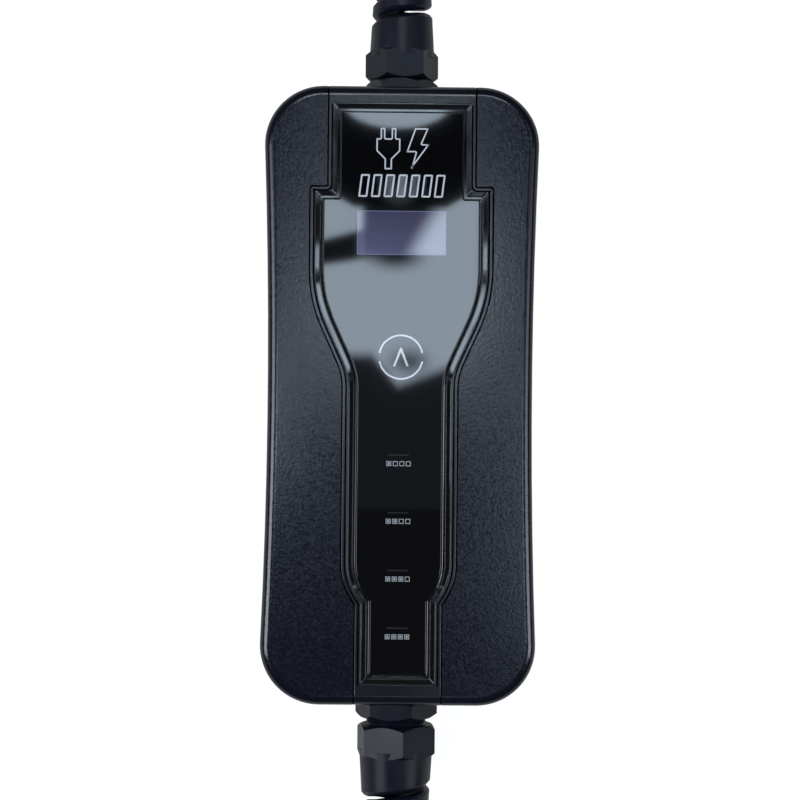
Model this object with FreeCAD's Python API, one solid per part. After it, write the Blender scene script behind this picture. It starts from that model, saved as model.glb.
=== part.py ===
import FreeCAD, Part
import math
import os
from collections import namedtuple

from FreeCAD import Vector

# A portable charger's control box: a deep rear tray and a shallow front cover, a glossy lens let into a
# centre fascia, and a cable gland with a spiral bend relief at each end.
# Millimetres. The origin is the centre of the flat rear face, +Z runs out of the front face, +Y towards the
# supply gland and +X to the right as the lens is read.

# Housing
housing_length = 225.0
housing_width = 100.0
housing_depth = 58.0
corner_radius = 21.5
side_waist = 1.9
front_edge_radius = 3.8
rear_edge_radius = 3.0
parting_height = 42.0
parting_chamfer = 0.4
shell_wall = 2.8
tray_floor = 3.0

# Rim where tray and cover meet
rim_width = 4.9
rim_height = 3.4
seal_inset = 1.6
seal_width = 1.8
seal_groove_depth = 2.4
tongue_height = 0.9
seal_clearance = 0.05

# Cover screws, driven from the rear into the front cover
corner_screw_x = 36.6
corner_screw_y = 99.1
side_screw_x = 38.4
screw_boss_radius = 4.0
screw_shank_radius = 1.75
screw_head_radius = 3.0
screw_head_height = 2.4
screw_length = 20.0
screw_seat_height = 28.0
screw_well_radius = 3.4
screw_clearance = 0.2
pilot_spare = 1.0
thread_clearance = 0.05
cross_recess_width = 0.9
cross_recess_length = 3.4
cross_recess_depth = 1.4

# Outline of the lens, down its right side. Drops are measured from its top end and rises from its foot. The
# sweep shares are how much of the slope between shoulder and waist each of its two sweeps takes.
lens_top_margin = 9.75
lens_foot_margin = 11.1
lens_top_half = 22.3
lens_shoulder_half = 28.3
lens_waist_half = 15.45
lens_foot_half = 10.2
shoulder_drop = 31.8
upper_bend_drop = 66.75
lower_bend_drop = 95.1
foot_bend_rise = 35.0
foot_step_rise = 26.9
crisp_radius = 0.8
upper_sweep_share = 0.32
lower_sweep_share = 0.18
foot_sweep_radius = 18.0

# Fascia, bezel, lens and tape, from the housing's front face inwards
fascia_thickness = 2.8
fascia_backing = 2.2
fascia_gap = 0.5
seam_depth = 1.2
seam_end_depth = 0.3
seam_clearance = 0.05
fascia_end_rise = 4.2
fascia_edge_radius = 0.2
fascia_top_margin = 4.85
fascia_shoulder_rise = 4.85
fascia_shoulder_margin = 5.25
fascia_waist_margin = 5.8
fascia_foot_margin = 5.9
bezel_width = 3.2
bezel_clearance = 0.05
bezel_lip = 0.3
bezel_fall = 0.45
bezel_slope_end = 1.3
bezel_ledge_sink = 0.5
lens_recess = 1.0
lens_thickness = 1.5
lens_clearance = 0.15
lens_edge_radius = 0.3
tape_inset = 0.6
tape_window_margin = 1.0

# Display window, touch mark and status bars on the lens
window_width = 33.4
window_height = 17.2
window_drop = 43.35
touch_drop = 89.0
touch_contact_radius = 5.0
touch_clearance = 0.6
bar_count = 4
bar_foot_rise = 17.0
bar_pitch = 20.87
bar_length = 7.5
bar_width = 1.4
bar_clearance = 0.1

# Display board, hung under the front cover
display_board_gap = 6.0
display_board_thickness = 1.6
display_head_half = 24.0
display_head_drop = 18.75
display_head_length = 46.0
display_stem_half = 10.5
display_stem_foot_rise = 4.4
display_board_corner = 1.5
display_boss_radius = 2.6
display_boss_inset = 4.0
small_screw_radius = 1.1
small_screw_head_radius = 2.1
small_screw_head_height = 1.5
small_screw_length = 6.0
panel_body_margin = 4.2
panel_body_height = 3.4
panel_glass_margin = 1.2
panel_glass_gap = 0.5
led_length = 3.2
led_width = 1.6
led_height = 1.2
guide_flange_margin = 1.0
guide_flange_thickness = 1.0
guide_top_gap = 0.3

# Main board and what stands on it
main_board_length = 158.0
main_board_width = 66.0
main_board_thickness = 1.6
main_board_corner = 3.0
standoff_height = 6.0
standoff_radius = 3.5
standoff_x = 28.0
standoff_y = 73.0
board_screw_radius = 1.5
board_screw_head_radius = 2.8
board_screw_head_height = 2.0
board_screw_length = 7.0
relay_width = 16.0
relay_length = 30.0
relay_height = 23.0
relay_x = 20.5
relay_y = 22.0
relay_edge_radius = 1.0
capacitor_width = 13.0
capacitor_length = 18.0
capacitor_height = 12.0
capacitor_y = 22.0
power_module_width = 27.0
power_module_length = 34.0
power_module_height = 15.0
power_module_x = -16.0
power_module_y = -17.0
ring_core_radius = 13.0
ring_core_bore_radius = 6.5
ring_core_height = 13.0
ring_core_edge_radius = 1.2
ring_core_x = 15.0
ring_core_y = -14.0
fuse_radius = 2.6
fuse_length = 20.0
fuse_cap_length = 5.0
fuse_x = -20.0
fuse_y = 50.0
fuse_cap_wall = 0.2
fuse_clip_wall = 0.6
fuse_clip_inset = 1.0
varistor_radius = 7.0
varistor_thickness = 4.5
varistor_edge_radius = 1.2
varistor_x = 20.0
varistor_y = 50.0
varistor_lead_radius = 0.4
varistor_stand = 2.0
terminal_pitch = 8.5
terminal_depth = 12.0
terminal_height = 14.0
terminal_screw_radius = 2.4
terminal_screw_depth = 3.0
terminal_entry_width = 5.5
terminal_entry_rise = 2.0
terminal_chamfer = 1.5
supply_terminal_count = 3
supply_terminal_y = 70.0
vehicle_terminal_count = 4
vehicle_terminal_y = -70.0
chip_size = 10.0
chip_height = 1.4
chip_x = -14.0
chip_y = -46.0
buzzer_radius = 6.0
buzzer_height = 7.0
buzzer_hole_radius = 1.0
buzzer_hole_floor = 2.0
buzzer_x = 20.0
buzzer_y = -40.0
link_x = 0.0
link_y = -50.0
link_width = 12.0
link_thickness = 1.0
link_bow = 7.0
header_width = 16.0
header_depth = 5.0
header_height = 4.5

# Glands: sizes common to both. Heights along a gland are measured outwards from the end wall.
locknut_rim_clearance = 0.6
washer_thickness = 1.5
washer_margin = 0.2
gland_hole_clearance = 0.15
locknut_thickness = 5.0
gland_tail_inside = 11.0
thread_pitch = 1.41
thread_depth = 0.6
visible_turns = 4
passage_clearance = 0.9
claw_length = 7.0
claw_taper = 2.0
claw_wall = 1.2
claw_count = 6
claw_slot_width = 1.1
claw_clearance = 0.2
seal_seat_depth = 3.0
seal_fit_clearance = 0.05
nut_thread_clearance = 0.15
relief_bore_clearance = 0.75
slot_throat = 1.15
slot_shoulder = 2.4
slot_mouth = 4.5
slot_flare_depth = 2.3
slot_mid_depth = 0.9
relief_cut_reach = 1.0
nut_lead_in = 0.6
relief_ring = 5.5
relief_rim_radius = 0.8
nut_chamfer_angle = 36.0

# Supply gland at the top end, for a 10 mm lead
supply_lead_radius = 5.0
supply_thread_radius = 10.2
supply_flats = 24.0
supply_locknut_flats = 27.0
supply_base_height = 5.3
supply_base_turn = -5.0
supply_nut_start = 7.4
supply_nut_hex_end = 17.0
supply_nut_turn = 5.0
supply_dome_radius = 12.3
supply_dome_end = 29.1
supply_dome_end_radius = 11.55
supply_relief_end_radius = 9.3
supply_slot_pitch = 7.5
supply_slot_start = 28.4
supply_slot_crossing = 34.0
supply_slot_turns = 5

# Vehicle gland at the foot end, for a 12.5 mm lead
vehicle_lead_radius = 6.25
vehicle_thread_radius = 11.25
vehicle_flats = 27.0
vehicle_locknut_flats = 30.0
vehicle_base_height = 6.8
vehicle_base_turn = 9.0
vehicle_nut_start = 11.1
vehicle_nut_hex_end = 21.5
vehicle_nut_turn = 20.5
vehicle_dome_radius = 13.8
vehicle_dome_end = 30.9
vehicle_dome_end_radius = 13.2
vehicle_relief_end_radius = 10.6
vehicle_slot_pitch = 10.4
vehicle_slot_start = 31.4
vehicle_slot_crossing = 34.0
vehicle_slot_turns = 4

Gland = namedtuple(
    "Gland",
    "side lead thread flats locknut base base_turn nut_start hex_end nut_turn dome dome_end dome_end_radius "
    "relief_radius pitch slot_start slot_crossing slot_turns",
)

supply_gland = Gland(
    1, supply_lead_radius, supply_thread_radius, supply_flats, supply_locknut_flats, supply_base_height,
    supply_base_turn, supply_nut_start, supply_nut_hex_end, supply_nut_turn, supply_dome_radius,
    supply_dome_end, supply_dome_end_radius, supply_relief_end_radius, supply_slot_pitch,
    supply_slot_start, supply_slot_crossing, supply_slot_turns,
)
vehicle_gland = Gland(
    -1, vehicle_lead_radius, vehicle_thread_radius, vehicle_flats, vehicle_locknut_flats, vehicle_base_height,
    vehicle_base_turn, vehicle_nut_start, vehicle_nut_hex_end, vehicle_nut_turn, vehicle_dome_radius,
    vehicle_dome_end, vehicle_dome_end_radius, vehicle_relief_end_radius, vehicle_slot_pitch,
    vehicle_slot_start, vehicle_slot_crossing, vehicle_slot_turns,
)

# Levels and places that follow from the sizes above
lens_top = housing_length / 2 - lens_top_margin
lens_foot = lens_foot_margin - housing_length / 2
shoulder_height = lens_top - shoulder_drop
upper_bend = lens_top - upper_bend_drop
lower_bend = lens_top - lower_bend_drop
slope_length = math.hypot(lens_shoulder_half - lens_waist_half, upper_bend - lower_bend)
slope_half_turn = math.atan2(lens_shoulder_half - lens_waist_half, upper_bend - lower_bend) / 2
upper_sweep_radius = upper_sweep_share * slope_length / math.tan(slope_half_turn)
lower_sweep_radius = lower_sweep_share * slope_length / math.tan(slope_half_turn)
foot_bend = lens_foot + foot_bend_rise
foot_step = lens_foot + foot_step_rise
window_y = lens_top - window_drop
touch_y = lens_top - touch_drop
fascia_floor = housing_depth - fascia_thickness
cover_ceiling = fascia_floor - fascia_backing
lens_face = housing_depth - lens_recess
lens_back = lens_face - lens_thickness
display_board_height = cover_ceiling - display_board_gap
display_board_top = display_board_height + display_board_thickness
display_head_top = lens_top - display_head_drop
display_head_foot = display_head_top - display_head_length
display_stem_foot = lens_foot + display_stem_foot_rise
main_board_base = tray_floor + standoff_height
main_board_top = main_board_base + main_board_thickness
seal_floor = parting_height - seal_groove_depth
seal_top = parting_height - tongue_height
gland_height = parting_height - rim_height - vehicle_locknut_flats / 2 - locknut_rim_clearance

UP = Vector(0, 0, 1)
HERE = Vector(0, 0, 0)


# Outlines and basic solids

def prism(wire, bottom, top):
    """A closed flat wire, drawn at Z 0, extruded from one height to another."""
    face = Part.Face(wire)
    face.translate(Vector(0, 0, bottom))
    return face.extrude(Vector(0, 0, top - bottom))


def rounded_outline(corners, radii):
    """A closed wire through the corners, each rounded by its own radius."""
    starts = []
    middles = []
    ends = []
    for index, corner in enumerate(corners):
        into = (corner - corners[index - 1]).normalize()
        out = (corners[(index + 1) % len(corners)] - corner).normalize()
        half_turn = into.getAngle(out) / 2
        reach = radii[index] * math.tan(half_turn)
        inwards = (out - into).normalize()
        starts.append(corner - into * reach)
        middles.append(corner + inwards * radii[index] * (1 / math.cos(half_turn) - 1))
        ends.append(corner + out * reach)
    edges = []
    for index in range(len(corners)):
        edges.append(Part.makeLine(ends[index - 1], starts[index]))
        edges.append(Part.Arc(starts[index], middles[index], ends[index]).toShape())
    return Part.Wire(edges)


def rectangle(width, length, radius, x=0.0, y=0.0):
    """A rectangular wire with rounded corners, centred on x and y."""
    across = width / 2
    along = length / 2
    corners = [
        Vector(x - across, y + along, 0),
        Vector(x + across, y + along, 0),
        Vector(x + across, y - along, 0),
        Vector(x - across, y - along, 0),
    ]
    return rounded_outline(corners, [radius] * len(corners))


def block(width, length, x, y, bottom, top):
    """A plain box centred on x and y."""
    return Part.makeBox(width, length, top - bottom, Vector(x - width / 2, y - length / 2, bottom))


def cylinder(radius, x, y, bottom, top):
    """An upright cylinder."""
    return Part.makeCylinder(radius, top - bottom, Vector(x, y, bottom), UP)


def revolved(corners):
    """A solid turned about Z from its (radius, height) corners."""
    points = [Vector(radius, 0, height) for radius, height in corners]
    return Part.Face(Part.makePolygon(points + points[:1])).revolve(HERE, UP, 360)


def hexagon(flats, turn, bottom, top):
    """A hexagonal prism, flats wide across its flats."""
    radius = flats / math.sqrt(3)
    angles = [math.radians(turn + 60 * side) for side in range(6)]
    points = [Vector(radius * math.cos(angle), radius * math.sin(angle), 0) for angle in angles]
    return prism(Part.makePolygon(points + points[:1]), bottom, top)


def nut_hexagon(flats, turn, bottom, top):
    """A hexagonal prism with its corners chamfered at both ends, as a nut's are."""
    corner = flats / math.sqrt(3)
    inner = flats / 2
    rise = (corner - inner) * math.tan(math.radians(nut_chamfer_angle))
    envelope = revolved([
        (0, bottom),
        (inner, bottom),
        (corner, bottom + rise),
        (corner, top - rise),
        (inner, top),
        (0, top),
    ])
    return hexagon(flats, turn, bottom, top).common(envelope)


def edges_at(shape, height):
    """The edges of a shape that lie flat at one height."""
    return [
        edge for edge in shape.Edges
        if abs(edge.BoundBox.ZMin - height) < 1e-6 and abs(edge.BoundBox.ZMax - height) < 1e-6
    ]


def cross_recess(x, y, bottom, top):
    """The cross cut of a screw head."""
    arm = block(cross_recess_width, cross_recess_length, x, y, bottom, top)
    return arm.fuse(block(cross_recess_length, cross_recess_width, x, y, bottom, top))


# Housing: one outline serves the tray, the cover, the rim, the seal and the fascia

def housing_outline(inset):
    """The housing seen from the front: round corners joined by long sides that draw in at the waist."""
    corner_x = housing_width / 2 - corner_radius
    corner_y = housing_length / 2 - corner_radius
    reach = corner_radius - side_waist
    side_radius = (corner_y ** 2 + reach ** 2 - corner_radius ** 2) / (2 * side_waist)
    side_centre = housing_width / 2 - side_waist + side_radius
    lean = math.atan2(corner_y, side_centre - corner_x)
    radius = corner_radius - inset
    half_width = housing_width / 2 - side_waist - inset

    def on_corner(sign_x, sign_y, angle):
        return Vector(
            sign_x * (corner_x + radius * math.cos(angle)),
            sign_y * (corner_y + radius * math.sin(angle)),
            0,
        )

    def corner_arc(sign_x, sign_y):
        middle = (math.pi / 2 - lean) / 2
        return Part.Arc(
            on_corner(sign_x, sign_y, math.pi / 2),
            on_corner(sign_x, sign_y, middle),
            on_corner(sign_x, sign_y, -lean),
        ).toShape()

    def side_arc(sign_x):
        return Part.Arc(
            on_corner(sign_x, 1, -lean),
            Vector(sign_x * half_width, 0, 0),
            on_corner(sign_x, -1, -lean),
        ).toShape()

    def end_line(sign_y):
        return Part.makeLine(on_corner(-1, sign_y, math.pi / 2), on_corner(1, sign_y, math.pi / 2))

    return Part.Wire([
        end_line(1), corner_arc(1, 1), side_arc(1), corner_arc(1, -1),
        end_line(-1), corner_arc(-1, -1), side_arc(-1), corner_arc(-1, 1),
    ])


def housing_block(inset, bottom, top):
    return prism(housing_outline(inset), bottom, top)


def housing_ring(outer_inset, width, bottom, top):
    """A band that follows the housing's outline."""
    return housing_block(outer_inset, bottom, top).cut(housing_block(outer_inset + width, bottom, top))


def cover_form(inset):
    """The front cover's outside, or the same form drawn in by inset on its top and sides."""
    top = housing_depth - inset
    form = housing_block(inset, parting_height, top)
    return form.makeFillet(max(front_edge_radius - inset, 0.6), edges_at(form, top))


def screw_spots():
    corners = [(x * corner_screw_x, y * corner_screw_y) for x in (-1, 1) for y in (-1, 1)]
    return corners + [(-side_screw_x, 0.0), (side_screw_x, 0.0)]


# Strip: one outline serves the lens, its tape, the bezel and the fascia

def strip_outline(top, top_side, shoulder, shoulder_side, waist_side, foot_side, foot):
    """The lens outline with each of its stretches moved outwards by its own margin.

    The right side is a chain of corners from the top end to the foot. Each corner is the meeting of the two
    stretches beside it, and the left side mirrors it.
    """
    chain = [
        (lens_top_half, lens_top, crisp_radius, False),
        (lens_top_half, shoulder_height, crisp_radius, False),
        (lens_shoulder_half, shoulder_height, crisp_radius, False),
        (lens_shoulder_half, upper_bend, upper_sweep_radius, True),
        (lens_waist_half, lower_bend, lower_sweep_radius, True),
        (lens_waist_half, foot_bend, foot_sweep_radius, True),
        (lens_foot_half, foot_step, crisp_radius, False),
        (lens_foot_half, lens_foot, crisp_radius, False),
    ]
    slope_side = (shoulder_side + waist_side) / 2
    taper_side = (waist_side + foot_side) / 2
    margins = [top, top_side, shoulder, shoulder_side, slope_side, waist_side, taper_side, foot_side, foot]
    base = [Vector(0, lens_top, 0)] + [Vector(x, y, 0) for x, y, _, _ in chain] + [Vector(0, lens_foot, 0)]
    corners = []
    radii = []
    for index, (_, _, radius, sweeps) in enumerate(chain):
        before = (base[index + 1] - base[index]).normalize()
        after = (base[index + 2] - base[index + 1]).normalize()
        side_before = Vector(-before.y, before.x, 0)
        side_after = Vector(-after.y, after.x, 0)
        along_before = side_before.dot(base[index + 1]) + margins[index]
        along_after = side_after.dot(base[index + 1]) + margins[index + 1]
        cross = side_before.x * side_after.y - side_before.y * side_after.x
        corners.append(Vector(
            (along_before * side_after.y - along_after * side_before.y) / cross,
            (side_before.x * along_after - side_after.x * along_before) / cross,
            0,
        ))
        growth = (margins[index] + margins[index + 1]) / 2
        bulges = before.x * after.y - before.y * after.x < 0
        radii.append(radius + (growth if bulges else -growth) if sweeps else radius)
    mirrored = [Vector(-corner.x, corner.y, 0) for corner in reversed(corners)]
    return rounded_outline(corners + mirrored, radii + radii[::-1])


def lens_outline(margin):
    """The lens outline moved outwards by one margin all round."""
    return strip_outline(margin, margin, margin, margin, margin, margin, margin)


def lens_prism(margin, bottom, top):
    return prism(lens_outline(margin), bottom, top)


def fascia_prism(margin, bottom, top):
    """The fascia's outline, wider by margin, running out over both ends of the housing."""
    past_top = housing_length / 2 + fascia_thickness - lens_top
    past_foot = housing_length / 2 + fascia_thickness + lens_foot
    outline = strip_outline(
        past_top,
        fascia_top_margin + margin,
        fascia_shoulder_rise + margin,
        fascia_shoulder_margin + margin,
        fascia_waist_margin + margin,
        fascia_foot_margin + margin,
        past_foot,
    )
    return prism(outline, bottom, top)


def bar_places():
    lowest = lens_foot + bar_foot_rise
    return [lowest + bar_pitch * index for index in range(bar_count)]


def display_boss_spots():
    x = display_head_half - display_boss_inset
    upper = display_head_top - display_boss_inset
    lower = display_head_foot + display_boss_inset
    return [(-x, upper), (x, upper), (-x, lower), (x, lower), (0.0, display_stem_foot + display_boss_inset)]


# Front cover and what is let into it

def front_cover():
    """The shallow front shell, with a recess for the fascia that runs down both ends."""
    inner = housing_block(shell_wall, parting_height, housing_depth - shell_wall)
    cover = cover_form(0).cut(inner)
    backing_inset = fascia_thickness + fascia_backing
    backing = cover_form(0).cut(housing_block(backing_inset, parting_height, housing_depth - backing_inset))
    cover = cover.fuse(backing.common(fascia_prism(fascia_backing, parting_height, housing_depth)))
    cover = cover.fuse(housing_ring(parting_chamfer, rim_width - parting_chamfer, parting_height,
                                    parting_height + rim_height))
    tongue_side = seal_inset + seal_clearance
    cover = cover.fuse(housing_ring(tongue_side, seal_width - 2 * seal_clearance,
                                    seal_top, parting_height + parting_chamfer))
    for x, y in screw_spots():
        cover = cover.fuse(cylinder(screw_boss_radius, x, y, parting_height, housing_depth - shell_wall))
    for x, y in display_boss_spots():
        cover = cover.fuse(cylinder(display_boss_radius, x, y, display_board_top, cover_ceiling))
    recess = fascia_prism(0, parting_height + fascia_end_rise, housing_depth + 1)
    recess = recess.cut(housing_block(fascia_thickness, parting_height, fascia_floor))
    cover = cover.cut(recess.cut(seam_floor()))
    pilot_top = screw_seat_height + screw_length + pilot_spare
    for x, y in screw_spots():
        cover = cover.cut(cylinder(screw_shank_radius + thread_clearance, x, y, parting_height - 1, pilot_top))
    for x, y in display_boss_spots():
        small_pilot_top = display_board_height + small_screw_length + pilot_spare / 2
        cover = cover.cut(cylinder(small_screw_radius + thread_clearance, x, y,
                                   display_board_top - 1, small_pilot_top))
    window_margin = 2 * (panel_glass_margin + panel_glass_gap)
    cover = cover.cut(block(window_width + window_margin, window_height + window_margin,
                            0, window_y, cover_ceiling - 1, fascia_floor + 1))
    cover = cover.cut(cylinder(touch_contact_radius + touch_clearance, 0, touch_y,
                               cover_ceiling - 1, fascia_floor + 1))
    for y in bar_places():
        cover = cover.cut(block(bar_length, bar_width, 0, y, cover_ceiling - 1, fascia_floor + 1))
    chamfer = housing_ring(-1, 1 + parting_chamfer, parting_height - 1, parting_height + parting_chamfer)
    return cover.cut(chamfer)


def seam_floor():
    """The cover's rib in the seam beside the fascia, so shallow at both ends that the outline stays whole."""
    seam = fascia_prism(0, parting_height + fascia_end_rise, housing_depth - seam_depth)
    seam = seam.cut(fascia_prism(seam_clearance - fascia_gap, parting_height, housing_depth))
    return seam.common(cover_form(seam_end_depth))


def centre_fascia():
    """The textured strip round the lens, which wraps over both ends and fills its recess but for a fine gap."""
    strip = fascia_prism(-fascia_gap, parting_height + fascia_end_rise, housing_depth + 1).common(cover_form(0))
    strip = strip.cut(housing_block(fascia_thickness, parting_height, fascia_floor))
    strip = strip.cut(lens_prism(bezel_width + bezel_clearance, fascia_floor - 1, housing_depth + 1))
    end_line = housing_length / 2 - front_edge_radius
    rims = [edge for edge in edges_at(strip, housing_depth) if abs(edge.BoundBox.YMin) < end_line - 0.1]
    return strip.makeFillet(fascia_edge_radius, rims)


def lens_bezel():
    """The gloss frame round the lens: a flat lip, a shallow slope, then a step down to a ledge beside the lens."""
    ring = lens_prism(bezel_width, fascia_floor, housing_depth)
    ring = ring.cut(lens_prism(lens_clearance, fascia_floor - 1, housing_depth + 1))
    ring = ring.cut(lens_prism(bezel_slope_end, lens_face - bezel_ledge_sink, housing_depth + 1))
    low = lens_outline(bezel_slope_end)
    low.translate(Vector(0, 0, housing_depth - bezel_fall))
    high = lens_outline(bezel_width - bezel_lip)
    high.translate(Vector(0, 0, housing_depth))
    return ring.cut(Part.makeLoft([low, high], True, True))


def display_lens():
    """The clear cover plate, back-printed in black, with the edge of its face rounded over."""
    plate = lens_prism(0, lens_back, lens_face)
    return plate.makeFillet(lens_edge_radius, edges_at(plate, lens_face))


def lens_tape():
    """The adhesive gasket under the lens, open at the display, the touch contact and the status bars."""
    tape = lens_prism(-tape_inset, fascia_floor, lens_back)
    glass = 2 * panel_glass_margin + 2 * tape_window_margin
    tape = tape.cut(block(window_width + glass, window_height + glass, 0, window_y, fascia_floor, lens_back))
    tape = tape.cut(cylinder(touch_contact_radius + touch_clearance, 0, touch_y, fascia_floor, lens_back))
    for y in bar_places():
        tape = tape.cut(block(bar_length + tape_window_margin, bar_width + tape_window_margin, 0, y,
                              fascia_floor, lens_back))
    return tape


# Rear cover, seal and screws

def rear_cover():
    """The deep rear tray: gland holes in both ends, screw wells, board standoffs and the seal's groove."""
    tray = housing_block(0, 0, parting_height)
    tray = tray.makeFillet(rear_edge_radius, edges_at(tray, 0))
    tray = tray.cut(housing_block(shell_wall, tray_floor, parting_height - rim_height))
    tray = tray.cut(housing_block(rim_width, tray_floor, parting_height))
    for x, y in screw_spots():
        tray = tray.fuse(cylinder(screw_boss_radius, x, y, tray_floor / 2, parting_height))
    for x, y in standoff_spots():
        tray = tray.fuse(cylinder(standoff_radius, x, y, tray_floor / 2, main_board_base))
    tray = tray.cut(housing_ring(seal_inset, seal_width, seal_floor, parting_height))
    for x, y in screw_spots():
        tray = tray.cut(cylinder(screw_well_radius, x, y, -1, screw_seat_height))
        tray = tray.cut(cylinder(screw_shank_radius + screw_clearance, x, y, 0, parting_height + 1))
    for x, y in standoff_spots():
        pilot_floor = main_board_top - board_screw_length - pilot_spare / 2
        tray = tray.cut(cylinder(board_screw_radius + thread_clearance, x, y, pilot_floor, main_board_base + 1))
    for gland in (supply_gland, vehicle_gland):
        hole = cylinder(gland.thread + gland_hole_clearance, 0, 0, -2 * rim_width, 1)
        tray = tray.cut(at_end(hole, gland.side))
    chamfer = housing_ring(-1, 1 + parting_chamfer, parting_height - parting_chamfer, parting_height + 1)
    return tray.cut(chamfer)


def housing_seal():
    """The rubber ring in the rim's groove, pressed by the cover's tongue."""
    return housing_ring(seal_inset + seal_clearance, seal_width - 2 * seal_clearance, seal_floor, seal_top)


def cover_screws():
    """The six long screws that draw the two shells together."""
    screws = []
    for x, y in screw_spots():
        head_base = screw_seat_height - screw_head_height
        head = cylinder(screw_head_radius, x, y, head_base, screw_seat_height)
        head = head.cut(cross_recess(x, y, head_base, head_base + cross_recess_depth))
        shank = cylinder(screw_shank_radius, x, y, screw_seat_height, screw_seat_height + screw_length)
        screws.append(head.fuse(shank))
    return Part.makeCompound(screws)


# Glands, built along +Z from the end wall's outer face and turned to their ends afterwards

def at_end(shape, side):
    """Points a piece built along +Z out of the end wall: side 1 is the supply end and -1 the vehicle end."""
    placed = shape.copy()
    placed.rotate(HERE, Vector(1, 0, 0), -90 * side)
    placed.translate(Vector(0, side * housing_length / 2, gland_height))
    return placed


def washer_radius(gland):
    return gland.flats / 2 + washer_margin


def base_top(gland):
    return washer_thickness + gland.base


def claw_root(gland):
    return gland.nut_start + claw_length


def claw_top(gland):
    return claw_root(gland) + claw_length


def pocket_radius(gland):
    return gland.thread - claw_taper - claw_wall - claw_clearance


def slot_end(gland):
    return gland.slot_crossing + gland.slot_turns * gland.pitch


def gland_washer(gland):
    """The flat washer between the gland's base and the wall."""
    outer = washer_radius(gland)
    inner = gland.thread + gland_hole_clearance
    ring = revolved([(inner, 0), (outer, 0), (outer, washer_thickness), (inner, washer_thickness)])
    return at_end(ring, gland.side)


def gland_body(gland):
    """The gland's body: a thread through the wall, a hexagonal base, the dome nut's thread and a ring of claws."""
    thread = gland.thread
    top = base_top(gland)
    passage = gland.lead + passage_clearance
    pocket = pocket_radius(gland)
    pocket_floor = claw_root(gland) - seal_seat_depth
    profile = [(passage, -gland_tail_inside), (thread, -gland_tail_inside), (thread, top)]
    for turn in range(visible_turns):
        start = top + turn * thread_pitch
        profile.append((thread - thread_depth, start + thread_pitch / 2))
        profile.append((thread, start + thread_pitch))
    profile += [
        (thread, claw_root(gland)),
        (thread - claw_clearance, claw_root(gland)),
        (thread - claw_clearance - claw_taper, claw_top(gland)),
        (pocket, claw_top(gland)),
        (pocket, pocket_floor),
        (passage, pocket_floor),
    ]
    body = revolved(profile)
    base = nut_hexagon(gland.flats, gland.base_turn, washer_thickness, top)
    body = body.fuse(base.cut(cylinder(thread / 2 + passage / 2, 0, 0, 0, top)))
    for claw in range(claw_count // 2):
        slot = block(claw_slot_width, 3 * thread, 0, 0, claw_root(gland), claw_top(gland) + 1)
        slot.rotate(HERE, UP, claw * 360 / claw_count)
        body = body.cut(slot)
    return at_end(body, gland.side)


def gland_locknut(gland):
    """The nut that holds the gland from inside the tray."""
    nut = nut_hexagon(gland.locknut, 0, -shell_wall - locknut_thickness, -shell_wall)
    bore = cylinder(gland.thread + thread_clearance, 0, 0, -shell_wall - locknut_thickness - 1, 0)
    return at_end(nut.cut(bore), gland.side)


def gland_seal(gland):
    """The rubber sleeve that the claws squeeze on to the lead."""
    outer = pocket_radius(gland) - seal_fit_clearance
    floor = claw_root(gland) - seal_seat_depth
    sleeve = revolved([(gland.lead, floor), (outer, floor), (outer, claw_top(gland)),
                       (gland.lead, claw_top(gland))])
    return at_end(sleeve, gland.side)


def relief_slot(gland):
    """The flared helical slot, swept from the relief's narrow end back towards the nut."""
    narrow = gland.relief_radius
    run = slot_end(gland) - gland.slot_start
    spread = math.degrees(math.atan((gland.dome_end_radius - narrow) / run))
    path = Part.makeLongHelix(gland.pitch, run, narrow, spread)
    flank_slope = (slot_mouth - slot_shoulder) / 2 / slot_mid_depth
    half_section = [
        (gland.lead - gland.dome_end_radius - relief_cut_reach, slot_throat / 2),
        (-slot_flare_depth, slot_throat / 2),
        (-slot_mid_depth, slot_shoulder / 2),
        (relief_cut_reach, slot_mouth / 2 + flank_slope * relief_cut_reach),
    ]
    points = [Vector(narrow + depth, 0, -width) for depth, width in half_section]
    points += [Vector(narrow + depth, 0, width) for depth, width in reversed(half_section)]
    section = Part.makePolygon(points + points[:1])
    slot = Part.Wire(path.Edges).makePipeShell([section], True, True)
    slot.rotate(HERE, Vector(1, 0, 0), 180)
    slot.translate(Vector(0, 0, slot_end(gland)))
    return slot


def gland_nut(gland):
    """The dome nut, moulded in one piece with its spiral bend relief."""
    bore = gland.lead + relief_bore_clearance
    cavity = gland.thread + nut_thread_clearance
    neck = cavity - claw_taper
    tail_end = slot_end(gland) + relief_ring
    hex_top = gland.hex_end + (gland.flats / math.sqrt(3) - gland.flats / 2) * math.tan(
        math.radians(nut_chamfer_angle))
    envelope = revolved([
        (0, gland.hex_end - relief_cut_reach),
        (gland.dome, gland.hex_end - relief_cut_reach),
        (gland.dome_end_radius, gland.dome_end),
        (gland.relief_radius, slot_end(gland)),
        (gland.relief_radius - relief_rim_radius / 4, tail_end - relief_rim_radius),
        (gland.relief_radius - relief_rim_radius, tail_end),
        (0, tail_end),
    ])
    nut = nut_hexagon(gland.flats, gland.nut_turn, gland.nut_start, hex_top).fuse(envelope)
    inside = revolved([
        (0, gland.nut_start - nut_lead_in),
        (cavity + 2 * nut_lead_in, gland.nut_start - nut_lead_in),
        (cavity, gland.nut_start + nut_lead_in),
        (cavity, claw_root(gland)),
        (neck, claw_top(gland)),
        (neck, claw_top(gland) + claw_clearance),
        (bore, claw_top(gland) + claw_clearance),
        (bore, tail_end + 1),
        (0, tail_end + 1),
    ])
    return at_end(nut.cut(inside).cut(relief_slot(gland)), gland.side)


# Boards

def standoff_spots():
    return [(x * standoff_x, y * standoff_y) for x in (-1, 1) for y in (-1, 1)]


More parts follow.
